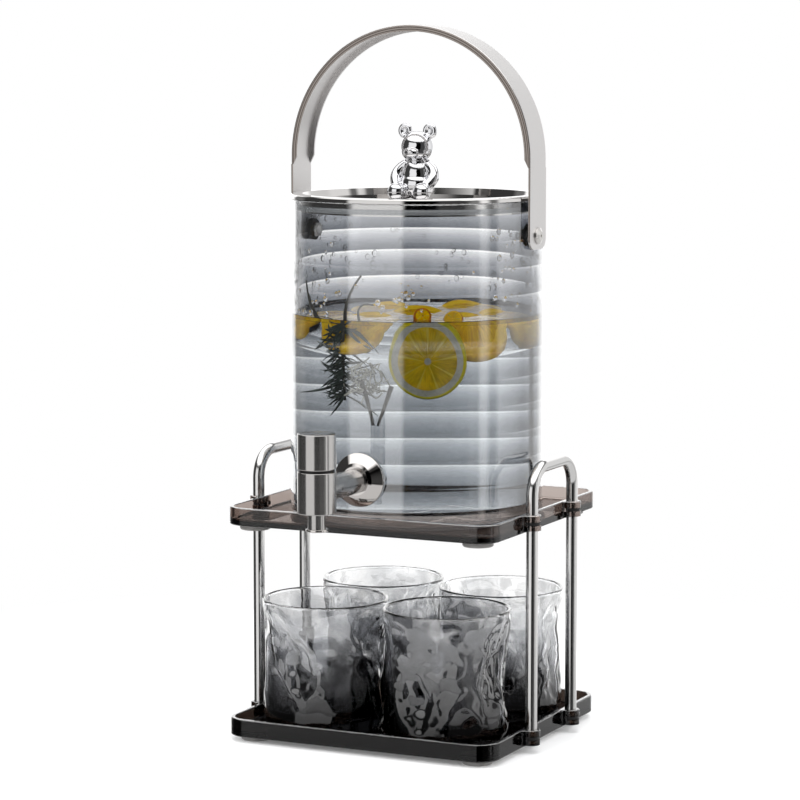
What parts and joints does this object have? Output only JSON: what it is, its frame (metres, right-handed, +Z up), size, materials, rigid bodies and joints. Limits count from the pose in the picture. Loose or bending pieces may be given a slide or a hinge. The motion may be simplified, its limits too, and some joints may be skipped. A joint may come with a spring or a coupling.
{
  "type": "drink dispenser",
  "caption": "Straight glass drink dispenser with a brushed tap, a steel lid with a seated bear knob and a bail handle, on a smoky two-tier tray stand with crumpled glass cups.",
  "frame": {"origin": "on the ground, in the middle of the whole object's outline seen from above", "axes": "+Z up; X = 0 is the middle of the jar, stand and handle; the tap and the figure on the lid face -Y; +X is to their left"},
  "size_m": [0.1886, 0.22, 0.4194],
  "materials": {
    "smoke_plastic": "clear moulded plastic tinted smoky brown",
    "foot_silicone": "grey see-through silicone",
    "rod_steel": "satin drawn stainless steel",
    "black_rubber": "matt black",
    "jar_glass": "clear glass with a faint grey tint",
    "smoke_glass": "clear glass tinted smoky grey",
    "brushed_steel": "brushed stainless steel",
    "handle_steel": "satin stainless steel strip",
    "polished_steel": "polished stainless steel",
    "chrome": "bright plated zinc casting",
    "clear_silicone": "milky clear silicone"
  },
  "bodies": {
    "stand": {"lower_tray": "smoke_plastic", "upper_tray": "smoke_plastic", "lower_tray_feet": "foot_silicone", "upper_tray_feet": "foot_silicone", "left_rod": "rod_steel", "right_rod": "rod_steel", "lower_lug_rings": "black_rubber", "upper_lug_rings": "black_rubber"},
    "jar": {"glass_jar": "jar_glass", "tap_flange": "polished_steel", "tap_outer_washer": "clear_silicone", "tap_inner_washer": "clear_silicone", "tap_lock_nut": "brushed_steel", "tap_shank": "brushed_steel", "tap_body": "brushed_steel", "tap_nozzle": "brushed_steel", "tap_tip_ring": "polished_steel", "tap_knob_ring": "black_rubber", "tap_grub_screw": "brushed_steel", "pivot_screws": "polished_steel", "pivot_nuts": "brushed_steel", "pivot_spacers": "clear_silicone", "pivot_grommets": "black_rubber"},
    "tap_turner": {"tap_valve": "brushed_steel", "tap_knob": "brushed_steel"},
    "lid": {"lid_pan": "polished_steel", "lid_seal": "clear_silicone", "lid_screw": "brushed_steel", "lid_washer": "brushed_steel", "bear_knob": "chrome"},
    "handle": {"bail_handle": "handle_steel", "bail_straps": "handle_steel"},
    "cup_front_left": {"cup_front_left": "smoke_glass"},
    "cup_front_right": {"cup_front_right": "smoke_glass"},
    "cup_back_left": {"cup_back_left": "smoke_glass"},
    "cup_back_right": {"cup_back_right": "smoke_glass"}
  },
  "joints": [
    {"name": "jar_lift", "type": "slide", "parent": "stand", "child": "jar", "axis": [0, 0, 1], "range_m": [0, 0.2]},
    {"name": "handle_swing", "type": "hinge", "parent": "jar", "child": "handle", "pos_m": [0, 0.032, 0.2977], "axis": [1, 0, 0], "range_deg": [-135, 135]},
    {"name": "tap_turn", "type": "hinge", "parent": "jar", "child": "tap_turner", "pos_m": [0, -0.099, 0.1831], "axis": [0, 0, 1], "range_deg": [0, 90]},
    {"name": "lid_lift", "type": "slide", "parent": "jar", "child": "lid", "axis": [0, 0, 1], "range_m": [0, 0.016]},
    {"name": "cup_front_left_lift", "type": "slide", "parent": "stand", "child": "cup_front_left", "axis": [0, 0, 1], "range_m": [0, 0.04]},
    {"name": "cup_front_right_lift", "type": "slide", "parent": "stand", "child": "cup_front_right", "axis": [0, 0, 1], "range_m": [0, 0.04]},
    {"name": "cup_back_left_lift", "type": "slide", "parent": "stand", "child": "cup_back_left", "axis": [0, 0, 1], "range_m": [0, 0.04]},
    {"name": "cup_back_right_lift", "type": "slide", "parent": "stand", "child": "cup_back_right", "axis": [0, 0, 1], "range_m": [0, 0.04]}
  ]
}
